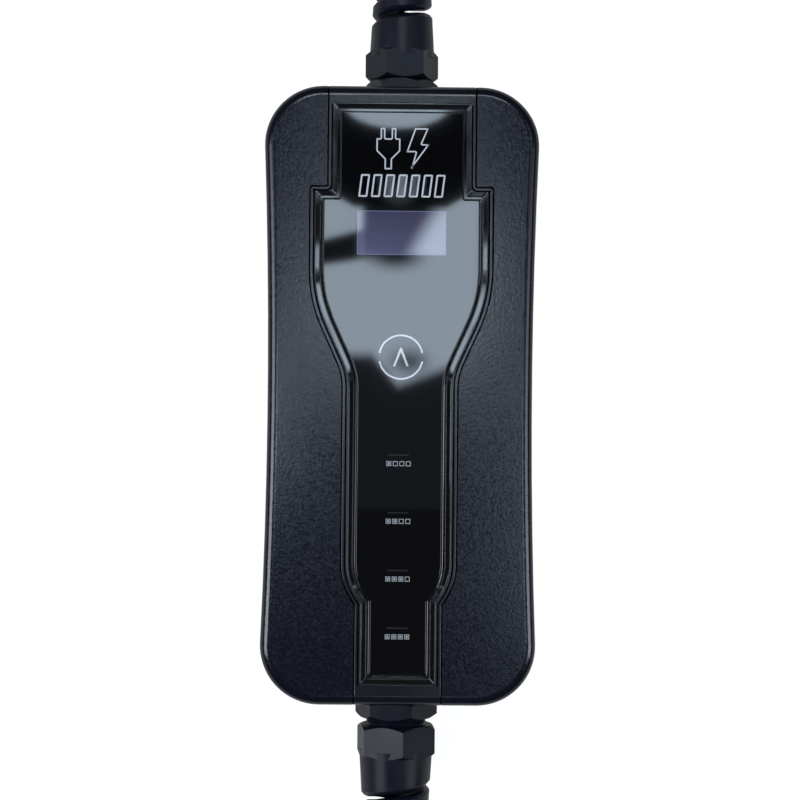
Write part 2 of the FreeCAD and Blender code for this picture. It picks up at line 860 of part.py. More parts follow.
def main_board():
    outline = rectangle(main_board_width, main_board_length, main_board_corner)
    board = prism(outline, main_board_base, main_board_top)
    for x, y in standoff_spots():
        board = board.cut(cylinder(board_screw_radius + screw_clearance, x, y, main_board_base, main_board_top))
    return board


def board_screws():
    screws = []
    for x, y in standoff_spots():
        head_top = main_board_top + board_screw_head_height
        head = cylinder(board_screw_head_radius, x, y, main_board_top, head_top)
        head = head.cut(cross_recess(x, y, head_top - cross_recess_depth, head_top))
        shank = cylinder(board_screw_radius, x, y, main_board_top - board_screw_length, main_board_top)
        screws.append(head.fuse(shank))
    return Part.makeCompound(screws)


def display_board():
    """A T-shaped board: the head carries the display and the stem the status lights."""
    corners = [
        Vector(-display_head_half, display_head_top, 0),
        Vector(display_head_half, display_head_top, 0),
        Vector(display_head_half, display_head_foot, 0),
        Vector(display_stem_half, display_head_foot, 0),
        Vector(display_stem_half, display_stem_foot, 0),
        Vector(-display_stem_half, display_stem_foot, 0),
        Vector(-display_stem_half, display_head_foot, 0),
        Vector(-display_head_half, display_head_foot, 0),
    ]
    outline = rounded_outline(corners, [display_board_corner] * len(corners))
    board = prism(outline, display_board_height, display_board_top)
    for x, y in display_boss_spots():
        board = board.cut(cylinder(small_screw_radius + screw_clearance, x, y,
                                   display_board_height, display_board_top))
    return board


def display_board_screws():
    screws = []
    for x, y in display_boss_spots():
        head_base = display_board_height - small_screw_head_height
        shank_end = display_board_height + small_screw_length
        head = cylinder(small_screw_head_radius, x, y, head_base, display_board_height)
        shank = cylinder(small_screw_radius, x, y, display_board_height, shank_end)
        screws.append(head.fuse(shank))
    return Part.makeCompound(screws)


# On the display board

def lcd_panel():
    """The display: a body on the board and a glass that stands up into the cover's window."""
    body_top = display_board_top + panel_body_height
    body = block(window_width + 2 * panel_body_margin, window_height + 2 * panel_body_margin,
                 0, window_y, display_board_top, body_top)
    glass = block(window_width + 2 * panel_glass_margin, window_height + 2 * panel_glass_margin,
                  0, window_y, body_top, fascia_floor - guide_top_gap)
    return body.fuse(glass)


def indicator_leds():
    return Part.makeCompound([
        block(led_length, led_width, 0, y, display_board_top, display_board_top + led_height)
        for y in bar_places()
    ])


def light_guides():
    """Clear bars that carry each status light up through its slot, held by a flange under the ceiling."""
    guides = []
    for y in bar_places():
        flange_base = cover_ceiling - guide_flange_thickness
        flange = block(bar_length + 2 * guide_flange_margin, bar_width + 2 * guide_flange_margin,
                       0, y, flange_base, cover_ceiling)
        stem = block(bar_length - 2 * bar_clearance, bar_width - 2 * bar_clearance,
                     0, y, cover_ceiling, fascia_floor - guide_top_gap)
        guides.append(flange.fuse(stem))
    return Part.makeCompound(guides)


def touch_contact():
    """The conductive foam pillar between the touch electrode and the lens."""
    return cylinder(touch_contact_radius, 0, touch_y, display_board_top, lens_back)


# On the main board

def on_board(width, length, height, x, y, edge_radius):
    """A moulded case standing on the main board with its upper edges rounded."""
    top = main_board_top + height
    case = prism(rectangle(width, length, edge_radius, x, y), main_board_top, top)
    return case.makeFillet(edge_radius * 0.6, edges_at(case, top))


def leakage_sensor():
    """The ring core through which the leads' current is summed."""
    ring = revolved([
        (ring_core_bore_radius, main_board_top),
        (ring_core_radius, main_board_top),
        (ring_core_radius, main_board_top + ring_core_height),
        (ring_core_bore_radius, main_board_top + ring_core_height),
    ])
    ring = ring.makeFillet(ring_core_edge_radius, edges_at(ring, main_board_top + ring_core_height))
    ring.translate(Vector(ring_core_x, ring_core_y, 0))
    return ring


def fuse():
    """A cartridge fuse lying in its two clips."""
    axis_height = main_board_top + fuse_radius + fuse_clip_wall
    start = Vector(fuse_x, fuse_y - fuse_length / 2, axis_height)
    along = Vector(0, 1, 0)
    body = Part.makeCylinder(fuse_radius - fuse_cap_wall, fuse_length, start, along)
    for offset in (0, fuse_length - fuse_cap_length):
        cap_start = start + Vector(0, offset, 0)
        body = body.fuse(Part.makeCylinder(fuse_radius, fuse_cap_length, cap_start, along))
        clip_y = fuse_y - fuse_length / 2 + offset + fuse_cap_length / 2
        clip = block(2 * (fuse_radius + fuse_clip_wall), fuse_cap_length - fuse_clip_inset, fuse_x, clip_y,
                     main_board_top, axis_height)
        body = body.fuse(clip)
    return body


def varistor():
    """A disc on two leads, standing across the supply."""
    centre_height = main_board_top + varistor_stand + varistor_radius
    start = Vector(varistor_x, varistor_y - varistor_thickness / 2, centre_height)
    disc = Part.makeCylinder(varistor_radius, varistor_thickness, start, Vector(0, 1, 0))
    disc = disc.makeFillet(varistor_edge_radius, [edge for edge in disc.Edges if edge.BoundBox.YLength < 1e-6])
    for side in (-1, 1):
        disc = disc.fuse(cylinder(varistor_lead_radius, varistor_x + side * varistor_radius / 2, varistor_y,
                                  main_board_top, centre_height))
    return disc


def terminal_block(count, y, side):
    """A row of screw terminals with wire entries that face the gland on the given side."""
    width = count * terminal_pitch
    top = main_board_top + terminal_height
    body = block(width, terminal_depth, 0, y, main_board_top, top)
    long_edges = [edge for edge in edges_at(body, top) if edge.BoundBox.YLength < 1e-6]
    body = body.makeChamfer(terminal_chamfer, long_edges)
    for index in range(count):
        x = (index - (count - 1) / 2) * terminal_pitch
        body = body.cut(cylinder(terminal_screw_radius, x, y, top - terminal_screw_depth, top + 1))
        entry = block(terminal_entry_width, terminal_depth / 2, x, y + side * terminal_depth / 2,
                      main_board_top + terminal_entry_rise,
                      main_board_top + terminal_entry_rise + terminal_entry_width)
        body = body.cut(entry)
    return body


def buzzer():
    top = main_board_top + buzzer_height
    case = cylinder(buzzer_radius, buzzer_x, buzzer_y, main_board_top, top)
    hole = cylinder(buzzer_hole_radius, buzzer_x, buzzer_y, main_board_top + buzzer_hole_floor, top + 1)
    return case.cut(hole)


def link_header(bottom, top):
    return block(header_width, header_depth, link_x, link_y, bottom, top)


def link_ribbon():
    """The ribbon between the two boards, bowed a little so that the cover can be lifted."""
    bottom = main_board_top + header_height
    top = display_board_height - header_height
    middle = (bottom + top) / 2
    half = link_thickness / 2

    def side(offset):
        return Part.Arc(
            Vector(link_x - link_width / 2, link_y + offset, bottom),
            Vector(link_x - link_width / 2, link_y + link_bow + offset, middle),
            Vector(link_x - link_width / 2, link_y + offset, top),
        ).toShape()

    inner = side(-half)
    outer = side(half)
    closing = [
        Part.makeLine(inner.Vertexes[0].Point, outer.Vertexes[0].Point),
        Part.makeLine(inner.Vertexes[1].Point, outer.Vertexes[1].Point),
    ]
    wire = Part.Wire(Part.__sortEdges__([inner, outer] + closing))
    return Part.Face(wire).extrude(Vector(link_width, 0, 0))


pieces = {
    "front_cover": front_cover(),
    "centre_fascia": centre_fascia(),
    "lens_bezel": lens_bezel(),
    "display_lens": display_lens(),
    "lens_tape": lens_tape(),
    "rear_cover": rear_cover(),
    "housing_seal": housing_seal(),
    "cover_screws": cover_screws(),
    "main_board": main_board(),
    "board_screws": board_screws(),
    "display_board": display_board(),
    "display_board_screws": display_board_screws(),
    "lcd_panel": lcd_panel(),
    "indicator_leds": indicator_leds(),
    "light_guides": light_guides(),
    "touch_contact": touch_contact(),
    "relay_line": on_board(relay_width, relay_length, relay_height, -relay_x, relay_y, relay_edge_radius),
    "relay_neutral": on_board(relay_width, relay_length, relay_height, relay_x, relay_y, relay_edge_radius),
    "filter_capacitor": on_board(capacitor_width, capacitor_length, capacitor_height, 0, capacitor_y,
                                 relay_edge_radius),
    "power_module": on_board(power_module_width, power_module_length, power_module_height, power_module_x,
                             power_module_y, relay_edge_radius),
    "leakage_sensor": leakage_sensor(),
    "fuse": fuse(),
    "varistor": varistor(),
    "supply_terminals": terminal_block(supply_terminal_count, supply_terminal_y, 1),
    "vehicle_terminals": terminal_block(vehicle_terminal_count, vehicle_terminal_y, -1),
    "controller_chip": block(chip_size, chip_size, chip_x, chip_y, main_board_top, main_board_top + chip_height),
    "buzzer": buzzer(),
    "main_header": link_header(main_board_top, main_board_top + header_height),
    "display_header": link_header(display_board_height - header_height, display_board_height),
    "link_ribbon": link_ribbon(),
}
for end, gland in (("supply", supply_gland), ("vehicle", vehicle_gland)):
    pieces[end + "_gland_washer"] = gland_washer(gland)
    pieces[end + "_gland_body"] = gland_body(gland)
    pieces[end + "_gland_locknut"] = gland_locknut(gland)
    pieces[end + "_gland_seal"] = gland_seal(gland)
    pieces[end + "_gland_nut"] = gland_nut(gland)

os.makedirs("parts", exist_ok=True)
for name, shape in pieces.items():
    shape.exportStep("parts/" + name + ".step")
    print(name, len(shape.Solids), "solid(s),", round(shape.Volume / 1000, 2), "cm3, valid:", shape.isValid())
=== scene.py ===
import math

import bmesh
import bpy
from mathutils import Matrix, Vector


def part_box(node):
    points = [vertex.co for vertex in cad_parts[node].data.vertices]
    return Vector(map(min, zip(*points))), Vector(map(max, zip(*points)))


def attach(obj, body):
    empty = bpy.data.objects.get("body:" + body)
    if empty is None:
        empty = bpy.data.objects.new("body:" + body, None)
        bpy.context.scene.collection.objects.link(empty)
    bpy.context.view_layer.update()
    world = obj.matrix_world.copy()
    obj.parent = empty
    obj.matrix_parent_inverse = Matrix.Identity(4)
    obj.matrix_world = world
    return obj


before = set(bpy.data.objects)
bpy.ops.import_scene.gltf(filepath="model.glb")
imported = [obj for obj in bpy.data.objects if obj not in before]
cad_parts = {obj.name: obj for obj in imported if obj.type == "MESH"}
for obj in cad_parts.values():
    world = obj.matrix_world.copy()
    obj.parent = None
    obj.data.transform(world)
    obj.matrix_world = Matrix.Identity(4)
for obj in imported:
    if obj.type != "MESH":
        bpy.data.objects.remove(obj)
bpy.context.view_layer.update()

# The box lies on its back and the camera hangs above it, a little left of the middle.
# The distance and the lens are those at which both glands run out of the picture.
mm = 0.001
camera_place = Vector((-9.0, -14.0, 790.0)) * mm
camera_target = Vector((0.0, -1.83, 58.0)) * mm
camera_roll = math.radians(0.53)
camera_view_angle = math.radians(22.37)

lens_data = bpy.data.cameras.new("overhead_camera")
lens_data.sensor_fit = "HORIZONTAL"
lens_data.angle = camera_view_angle
lens_data.clip_start = 0.01
camera = bpy.data.objects.new("overhead_camera", lens_data)
bpy.context.scene.collection.objects.link(camera)
back_axis = (camera_place - camera_target).normalized()
picture_up = Vector((-math.sin(camera_roll), math.cos(camera_roll), 0.0))
right_axis = picture_up.cross(back_axis).normalized()
up_axis = back_axis.cross(right_axis)
turn = Matrix((right_axis, up_axis, back_axis)).transposed()
camera.matrix_world = Matrix.Translation(camera_place) @ turn.to_4x4()
bpy.context.scene.camera = camera
bpy.context.scene.view_settings.view_transform = "Standard"


# Rear cover: the deep tray of the housing, injection moulded in black flame-retardant polycarbonate.
# The mould is spark eroded, which leaves a fine pebbled grain with a soft sheen over all outer faces.
# Here and on the other mouldings the grain is drawn coarser than the real one, so that it shows.
housing_colour = "#0d0f1a"
housing_worn_colour = "#11131f"
housing_roughness = 0.17
housing_ior = 1.55
housing_gloss = 0.38
housing_sheen = 0.06
housing_grain = 0.48
housing_grain_depth = 0.027
handling_size = 24.0
# A lump of the noise is about this long at a scale of 1.
lump_length = 0.5


def linear(colour):
    """The scene's colour for an sRGB hex value."""
    parts = [int(colour[i:i + 2], 16) / 255 for i in (1, 3, 5)]
    return [p / 12.92 if p <= 0.04045 else ((p + 0.055) / 1.055) ** 2.4 for p in parts] + [1.0]


def add(material, kind, values=None, **settings):
    """Adds one node: settings are its own options, values its sockets' numbers or what feeds them."""
    made = material.node_tree.nodes.new(kind)
    for name, setting in settings.items():
        setattr(made, name, setting)
    for name, value in (values or {}).items():
        if isinstance(value, bpy.types.NodeSocket):
            material.node_tree.links.new(value, made.inputs[name])
        else:
            made.inputs[name].default_value = value
    return made


def finish_named(name, roughness, ior, metallic=0.0):
    """A new material with its surface shader, and the object's own coordinates in millimetres."""
    material = bpy.data.materials.new(name)
    material.use_nodes = True
    shader = material.node_tree.nodes["Principled BSDF"]
    shader.inputs["Roughness"].default_value = roughness
    shader.inputs["IOR"].default_value = ior
    shader.inputs["Metallic"].default_value = metallic
    place = add(material, "ShaderNodeTexCoord").outputs["Object"]
    place = add(material, "ShaderNodeVectorMath", {0: place, 1: (1 / mm, 1 / mm, 1 / mm)},
                operation="MULTIPLY")
    return material, shader, place.outputs["Vector"]


def speckle(material, place, size, detail=2.0):
    """Soft noise whose lumps are about this many millimetres across."""
    noise = add(material, "ShaderNodeTexNoise",
                {"Vector": place, "Scale": lump_length / size, "Detail": detail})
    return noise.outputs["Fac"]


def between(material, amount, low, high, start, end):
    """Turns an amount from low..high into a number from start..end."""
    ramp = add(material, "ShaderNodeMapRange",
               {"Value": amount, "From Min": low, "From Max": high, "To Min": start, "To Max": end})
    return ramp.outputs["Result"]


def tint(material, amount, first, second):
    """A colour between two hex values."""
    mixed = add(material, "ShaderNodeMix", {"Factor": amount}, data_type="RGBA")
    mixed.inputs[6].default_value = linear(first)
    mixed.inputs[7].default_value = linear(second)
    return mixed.outputs[2]


def press_in(material, shader, height, depth, edge=0.0):
    """Lets a pattern show as relief this many millimetres deep, over edges softened by this radius."""
    bump = add(material, "ShaderNodeBump", {"Height": height, "Distance": depth * mm, "Strength": 1.0})
    if edge:
        soft = add(material, "ShaderNodeBevel", {"Radius": edge * mm}, samples=6)
        material.node_tree.links.new(soft.outputs["Normal"], bump.inputs["Normal"])
    material.node_tree.links.new(bump.outputs["Normal"], shader.inputs["Normal"])


def join(material, socket, shader, name):
    """Feeds one socket of the surface shader."""
    material.node_tree.links.new(socket, shader.inputs[name])


def dress(material, *nodes):
    """Gives CAD nodes this material."""
    for name in nodes:
        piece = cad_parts[name]
        if not piece.material_slots:
            piece.data.materials.append(material)
        for slot in piece.material_slots:
            slot.material = material


housing, shader, place = finish_named("spark_eroded_polycarbonate", housing_roughness, housing_ior)
pebbles = speckle(housing, place, housing_grain)
handling = speckle(housing, place, handling_size)
join(housing, tint(housing, between(housing, handling, 0.35, 0.65, 0.0, 1.0), housing_colour,
                   housing_worn_colour), shader, "Base Color")
join(housing, between(housing, pebbles, 0.3, 0.7, housing_roughness - housing_sheen,
                      housing_roughness + housing_sheen), shader, "Roughness")
shader.inputs["Specular IOR Level"].default_value = housing_gloss
press_in(housing, shader, pebbles, housing_grain_depth)
dress(housing, "rear_cover")

# Housing seal: a silicone cord laid in the rear cover's groove before the front goes on.
# Soft black rubber with a dull, faintly dusty skin.
seal_rubber, shader, place = finish_named("black_silicone_rubber", 0.7, 1.42)
dust = speckle(seal_rubber, place, 1.2, 4.0)
join(seal_rubber, tint(seal_rubber, dust, "#141416", "#232427"), shader, "Base Color")
press_in(seal_rubber, shader, dust, 0.01)
dress(seal_rubber, "housing_seal")

# Main board: glass laminate under green solder resist, screwed to four standoffs in the rear cover.
# The resist is glossy and dimpled by the glass weave, about 0.5 mm from thread to thread.
board_weave_pitch = 0.5
# A wave of the pattern is this long at a scale of 1.
wave_length = 0.314
board_laminate, shader, place = finish_named("green_solder_resist", 0.3, 1.5)
cloud = speckle(board_laminate, place, 6.0)
join(board_laminate, tint(board_laminate, cloud, "#0b3a1d", "#12522a"), shader, "Base Color")
weave = add(board_laminate, "ShaderNodeTexWave",
            {"Vector": place, "Scale": wave_length / board_weave_pitch, "Distortion": 0.3}, wave_type="BANDS")
press_in(board_laminate, shader, weave.outputs["Fac"], 0.006)
dress(board_laminate, "main_board", "display_board")

# Mains parts on the board: relays, filter capacitor, power module, leakage sensor, fuse and varistor.
# Each is the plain case of its kind: glossy blue and grey plastic, potted black, ferrite, ceramic.
relay_case, shader, place = finish_named("blue_relay_plastic", 0.28, 1.54)
flow = speckle(relay_case, place, 5.0)
join(relay_case, tint(relay_case, flow, "#12234c", "#182c5c"), shader, "Base Color")
press_in(relay_case, shader, speckle(relay_case, place, 0.8), 0.004)
dress(relay_case, "relay_line", "relay_neutral")

capacitor_case, shader, place = finish_named("ochre_capacitor_plastic", 0.4, 1.5)
flow = speckle(capacitor_case, place, 4.0)
join(capacitor_case, tint(capacitor_case, flow, "#a5841f", "#b8962c"), shader, "Base Color")
press_in(capacitor_case, shader, speckle(capacitor_case, place, 0.6), 0.005)
dress(capacitor_case, "filter_capacitor")

module_case, shader, place = finish_named("potted_module_plastic", 0.5, 1.52)
flow = speckle(module_case, place, 3.0)
join(module_case, tint(module_case, flow, "#19191b", "#232326"), shader, "Base Color")
press_in(module_case, shader, speckle(module_case, place, 0.35), 0.01)
dress(module_case, "power_module", "main_header", "display_header")

ferrite, shader, place = finish_named("lacquered_ferrite", 0.35, 1.6)
grit = speckle(ferrite, place, 0.5, 5.0)
join(ferrite, tint(ferrite, grit, "#2a2b2d", "#3b3c3e"), shader, "Base Color")
press_in(ferrite, shader, grit, 0.02)
dress(ferrite, "leakage_sensor")

fuse_ceramic, shader, place = finish_named("glazed_fuse_ceramic", 0.22, 1.55)
glaze = speckle(fuse_ceramic, place, 2.0)
join(fuse_ceramic, tint(fuse_ceramic, glaze, "#d9d4c6", "#e8e4d8"), shader, "Base Color")
press_in(fuse_ceramic, shader, glaze, 0.01)
dress(fuse_ceramic, "fuse")

varistor_blue, shader, place = finish_named("dipped_varistor_lacquer", 0.38, 1.52)
dip = speckle(varistor_blue, place, 1.8, 3.0)
join(varistor_blue, tint(varistor_blue, dip, "#1c3b86", "#244a9c"), shader, "Base Color")
press_in(varistor_blue, shader, dip, 0.05)
dress(varistor_blue, "varistor")

# Lead terminals, controller chip and buzzer: green and black mouldings soldered to the boards.
# The terminals take the cores of both leads. The packages have a fine matt skin.
terminal_green, shader, place = finish_named("green_terminal_plastic", 0.42, 1.53)
flow = speckle(terminal_green, place, 2.5)
join(terminal_green, tint(terminal_green, flow, "#1d7a3d", "#268a48"), shader, "Base Color")
press_in(terminal_green, shader, speckle(terminal_green, place, 0.3), 0.006)
dress(terminal_green, "supply_terminals", "vehicle_terminals")

package_black, shader, place = finish_named("moulded_package_epoxy", 0.55, 1.5)
skin = speckle(package_black, place, 0.25, 3.0)
join(package_black, tint(package_black, skin, "#141415", "#1e1e20"), shader, "Base Color")
press_in(package_black, shader, skin, 0.006)
dress(package_black, "controller_chip", "buzzer")

# Ribbon: grey flat cable between the two boards' headers, with a groove between each pair of wires.
# The wires lie 1.27 mm apart, and the vinyl is satin.
ribbon_pitch = 1.27
ribbon_grey, shader, place = finish_named("grey_ribbon_vinyl", 0.45, 1.53)
grooves = add(ribbon_grey, "ShaderNodeTexWave", {"Vector": place, "Scale": wave_length / ribbon_pitch},
              wave_type="BANDS", bands_direction="X")
join(ribbon_grey, tint(ribbon_grey, grooves.outputs["Fac"], "#8a8c90", "#a4a6aa"), shader, "Base Color")
press_in(ribbon_grey, shader, grooves.outputs["Fac"], 0.2)
dress(ribbon_grey, "link_ribbon")

# Display board: the display, four status lights, their clear guides and the touch key's foam pad.
# The guides carry each light up to the lens, and the pad presses on its back.
display_glass, shader, place = finish_named("polarised_display_glass", 0.12, 1.52)
haze = speckle(display_glass, place, 9.0)
join(display_glass, tint(display_glass, haze, "#4c4c6b", "#57567a"), shader, "Base Color")
dress(display_glass, "lcd_panel")

led_body, shader, place = finish_named("moulded_led_epoxy", 0.3, 1.53)
milk = speckle(led_body, place, 0.8)
join(led_body, tint(led_body, milk, "#dcdcd0", "#ecece4"), shader, "Base Color")
press_in(led_body, shader, milk, 0.004)
dress(led_body, "indicator_leds")

guide_clear, shader, place = finish_named("clear_guide_acrylic", 0.08, 1.49)
ripple = speckle(guide_clear, place, 3.0)
join(guide_clear, tint(guide_clear, ripple, "#c4c8cc", "#d6dade"), shader, "Base Color")
shader.inputs["Transmission Weight"].default_value = 0.6
press_in(guide_clear, shader, ripple, 0.01)
dress(guide_clear, "light_guides")

contact_foam, shader, place = finish_named("conductive_foam", 0.85, 1.4)
cells = speckle(contact_foam, place, 0.5, 4.0)
join(contact_foam, tint(contact_foam, cells, "#2c2d2f", "#47484b"), shader, "Base Color")
press_in(contact_foam, shader, cells, 0.12)
dress(contact_foam, "touch_contact")

# Front cover: the shallow half of the housing, of the same grained polycarbonate as the rear cover.
# It drops over the seal and is held from behind by six screws.
dress(housing, "front_cover")

# Centre fascia: the strip let into the front cover from end to end, with the lens's bed in it.
# Its mould is only satin polished, so it is smoother and a little bluer than the cover beside it.
fascia_colour = "#0f1118"
fascia_roughness = 0.18
fascia, shader, place = finish_named("satin_polycarbonate", fascia_roughness, 1.55)
skin = speckle(fascia, place, 0.3)
drift = speckle(fascia, place, 18.0)
join(fascia, tint(fascia, drift, fascia_colour, "#13151d"), shader, "Base Color")
join(fascia, between(fascia, drift, 0.3, 0.7, fascia_roughness - 0.04, fascia_roughness + 0.05), shader,
     "Roughness")
press_in(fascia, shader, skin, 0.009, edge=0.25)
dress(fascia, "centre_fascia")

# Seam shade: painted shade, a thin black strip without gloss in the seam between the fascia and the front
# cover.
# It stands in for the shade in the narrow seam, so the seam stays black. It lies 0.3 mm under the face and
# goes over both ends.
seam_width = 0.5
seam_rim = 0.2
seam_sink = 0.3
seam_end_sink = 0.15
cover_edge_radius = 3.8
seam_shade_depth = 0.1
seam_end = 108.7
seam_fall = math.radians(80)
seam_steps = 10
end_slack = 0.1
merge_distance = 0.0005
level_slack = 0.001
sharpest_corner = 0.7
front_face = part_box("centre_fascia")[1].z
# Painted shade: a flat black with no gloss, used for the seam and the groove line.
painted_shade_ink, shader, place = finish_named("painted_shade_black", 0.9, 1.0)
shade_speckle = speckle(painted_shade_ink, place, 0.3, 3.0)
join(painted_shade_ink, tint(painted_shade_ink, shade_speckle, "#050506", "#0a0a0c"), shader, "Base Color")


def flat_top(node):
    """A copy of a CAD node's flat front face, as one flat shape."""
    shape = bmesh.new()
    shape.from_mesh(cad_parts[node].data)
    bmesh.ops.remove_doubles(shape, verts=list(shape.verts), dist=merge_distance * mm)
    level = max(v.co.z for v in shape.verts)
    aside = [f for f in shape.faces if min(v.co.z for v in f.verts) < level - level_slack * mm]
    bmesh.ops.delete(shape, geom=aside, context="FACES")
    return shape


def piece_from(shape, name, *materials):
    """Makes the shape a piece of the object, carried by its only body."""
    mesh = bpy.data.meshes.new(name)
    shape.to_mesh(mesh)
    shape.free()
    for material in materials:
        mesh.materials.append(material)
    piece = bpy.data.objects.new(name, mesh)
    bpy.context.scene.collection.objects.link(piece)
    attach(piece, "root")
    return piece


def thicken(shape, proud):
    """Raises every flat face by this many millimetres, so that it is a closed thin plate."""
    faces = list(shape.faces)
    bmesh.ops.recalc_face_normals(shape, faces=faces)
    lifted = bmesh.ops.extrude_face_region(shape, geom=faces, use_keep_orig=True)
    moved = [v for v in lifted["geom"] if isinstance(v, bmesh.types.BMVert)]
    bmesh.ops.translate(shape, vec=(0.0, 0.0, proud * mm), verts=moved)
    bmesh.ops.recalc_face_normals(shape, faces=list(shape.faces))


def keep_between(shape, foot, head):
    """Cuts a shape off beyond two places along the box."""
    for level, beyond in ((foot, -1.0), (head, 1.0)):
        bmesh.ops.bisect_plane(shape, geom=list(shape.verts) + list(shape.edges) + list(shape.faces),
                               plane_co=(0.0, level * mm, 0.0), plane_no=(0.0, beyond, 0.0), clear_outer=True)


def outer_edges(shape):
    """The edges of a flat shape's outermost outline."""
    rims = [e for e in shape.edges if len(e.link_faces) == 1]
    start = max(rims, key=lambda e: e.verts[0].co.y)
    found, waiting = {start}, [start]
    while waiting:
        for vert in waiting.pop().verts:
            for edge in vert.link_edges:
                if len(edge.link_faces) == 1 and edge not in found:
                    found.add(edge)
                    waiting.append(edge)
    return list(found)


def band_along(shape, section):
    """Turns a flat shape into a band along its outline, through places measured outwards and up from it."""
    edges = outer_edges(shape)
    sideways = {}
    for edge in edges:
        away = (edge.verts[1].co - edge.verts[0].co).normalized().cross(Vector((0.0, 0.0, 1.0)))
        if away.dot(edge.link_faces[0].calc_center_median() - edge.verts[0].co) > 0:
            away.negate()
        for vert in edge.verts:
            sideways.setdefault(vert, []).append(away)
    push = {}
    for vert, (first, second) in sideways.items():
        middle = (first + second).normalized()
        push[vert] = middle * mm / max(middle.dot(first), sharpest_corner)
    inside = list(shape.faces)
    start = {vert: vert.co.copy() for vert in push}
    source = {vert: vert for vert in push}
    for outwards, up in section[1:]:
        made = bmesh.ops.extrude_edge_only(shape, edges=edges)["geom"]
        edges = [part for part in made if isinstance(part, bmesh.types.BMEdge)]
        row = {}
        for vert in [part for part in made if isinstance(part, bmesh.types.BMVert)]:
            beside = [edge.other_vert(vert) for edge in vert.link_edges]
            row[vert] = next(source[other] for other in beside if other in source)
            vert.co = start[row[vert]] + push[row[vert]] * outwards + Vector((0.0, 0.0, up * mm))
        source = row
    bmesh.ops.delete(shape, geom=inside, context="FACES")
    for vert, step in push.items():
        if vert.is_valid:
            vert.co = start[vert] + step * section[0][0] + Vector((0.0, 0.0, section[0][1] * mm))


# The seam's painted shade, built along the fascia's outline and bent down over both ends.
seam_shade = flat_top("centre_fascia")
band_along(seam_shade, [(seam_rim, 0.0), (seam_rim + seam_width, 0.0)])
keep_between(seam_shade, -seam_end, seam_end)
bmesh.ops.translate(seam_shade, vec=(0.0, 0.0, -(seam_sink + seam_shade_depth) * mm), verts=list(seam_shade.verts))
thicken(seam_shade, seam_shade_depth)
for end in (1, -1):
    cut = [v.co.x for v in seam_shade.verts if end * v.co.y > (seam_end - end_slack) * mm]
    edge_centre = (0.0, end * seam_end * mm, front_face - cover_edge_radius * mm)
    for side in (1, -1):
        reach = sorted({abs(x) for x in cut if side * x > 0})
        pair = [seam_shade.verts.new((side * x, end * seam_end * mm, front_face - seam_end_sink * mm))
                for x in (reach[0], reach[-1])]
        rim = seam_shade.edges.new(pair)
        bmesh.ops.spin(seam_shade, geom=pair + [rim], cent=edge_centre, axis=(1.0, 0.0, 0.0),
                       angle=-end * seam_fall, steps=seam_steps, use_merge=False)
bmesh.ops.recalc_face_normals(seam_shade, faces=list(seam_shade.faces))
seam_shade_piece = piece_from(seam_shade, "seam_painted_shade", painted_shade_ink)

# Groove line: painted shade, a dark line between the fascia's rim and the bezel, where the solids leave only
# 0.05 mm.
# It is a flat strip of the same dull black along the rim, just proud of the face, in place of the groove's
# shade.
groove_inset = 0.7
groove_width = 0.6
groove_end = 105.2
line_gap = 0.004
line_proud = 0.02
# Painted shade along the groove, in the flat black without gloss.
groove_shade = flat_top("centre_fascia")
band_along(groove_shade, [(-groove_inset - groove_width, 0.0), (-groove_inset, 0.0)])
keep_between(groove_shade, -groove_end, groove_end)
bmesh.ops.translate(groove_shade, vec=(0.0, 0.0, line_gap * mm), verts=list(groove_shade.verts))
thicken(groove_shade, line_proud)
groove_shade_piece = piece_from(groove_shade, "fascia_groove_shade", painted_shade_ink)

# Lens bezel: the sloping frame round the lens, moulded in high-gloss black ABS.
# It clips into the fascia. Its polish carries faint rub marks from handling.
bezel_roughness = 0.05
bezel_gloss, shader, place = finish_named("polished_black_abs", bezel_roughness, 1.54)
rubbed = speckle(bezel_gloss, place, 8.0, 2.0)
shader.inputs["Base Color"].default_value = linear("#0b0b0e")
join(bezel_gloss, between(bezel_gloss, rubbed, 0.35, 0.7, bezel_roughness - 0.01, bezel_roughness + 0.03),
     shader, "Roughness")
press_in(bezel_gloss, shader, rubbed, 0.001, edge=0.3)
dress(bezel_gloss, "lens_bezel")

# Display lens: one plate of clear acrylic, back printed in black, held in its bed by black foam tape.
# From the front it is a deep black mirror with only a slight waviness from the casting.
lens_roughness = 0.03
lens_ior = 1.49
lens_black, shader, place = finish_named("back_printed_acrylic", lens_roughness, lens_ior)
shader.inputs["Base Color"].default_value = linear("#0a0a0c")
swell = speckle(lens_black, place, 30.0, 1.0)
press_in(lens_black, shader, swell, 0.006)
dress(lens_black, "display_lens")

tape_black, shader, place = finish_named("black_foam_tape", 0.8, 1.45)
cells = speckle(tape_black, place, 0.4, 4.0)
join(tape_black, tint(tape_black, cells, "#0f0f10", "#1c1c1e"), shader, "Base Color")
press_in(tape_black, shader, cells, 0.05)
dress(tape_black, "lens_tape")

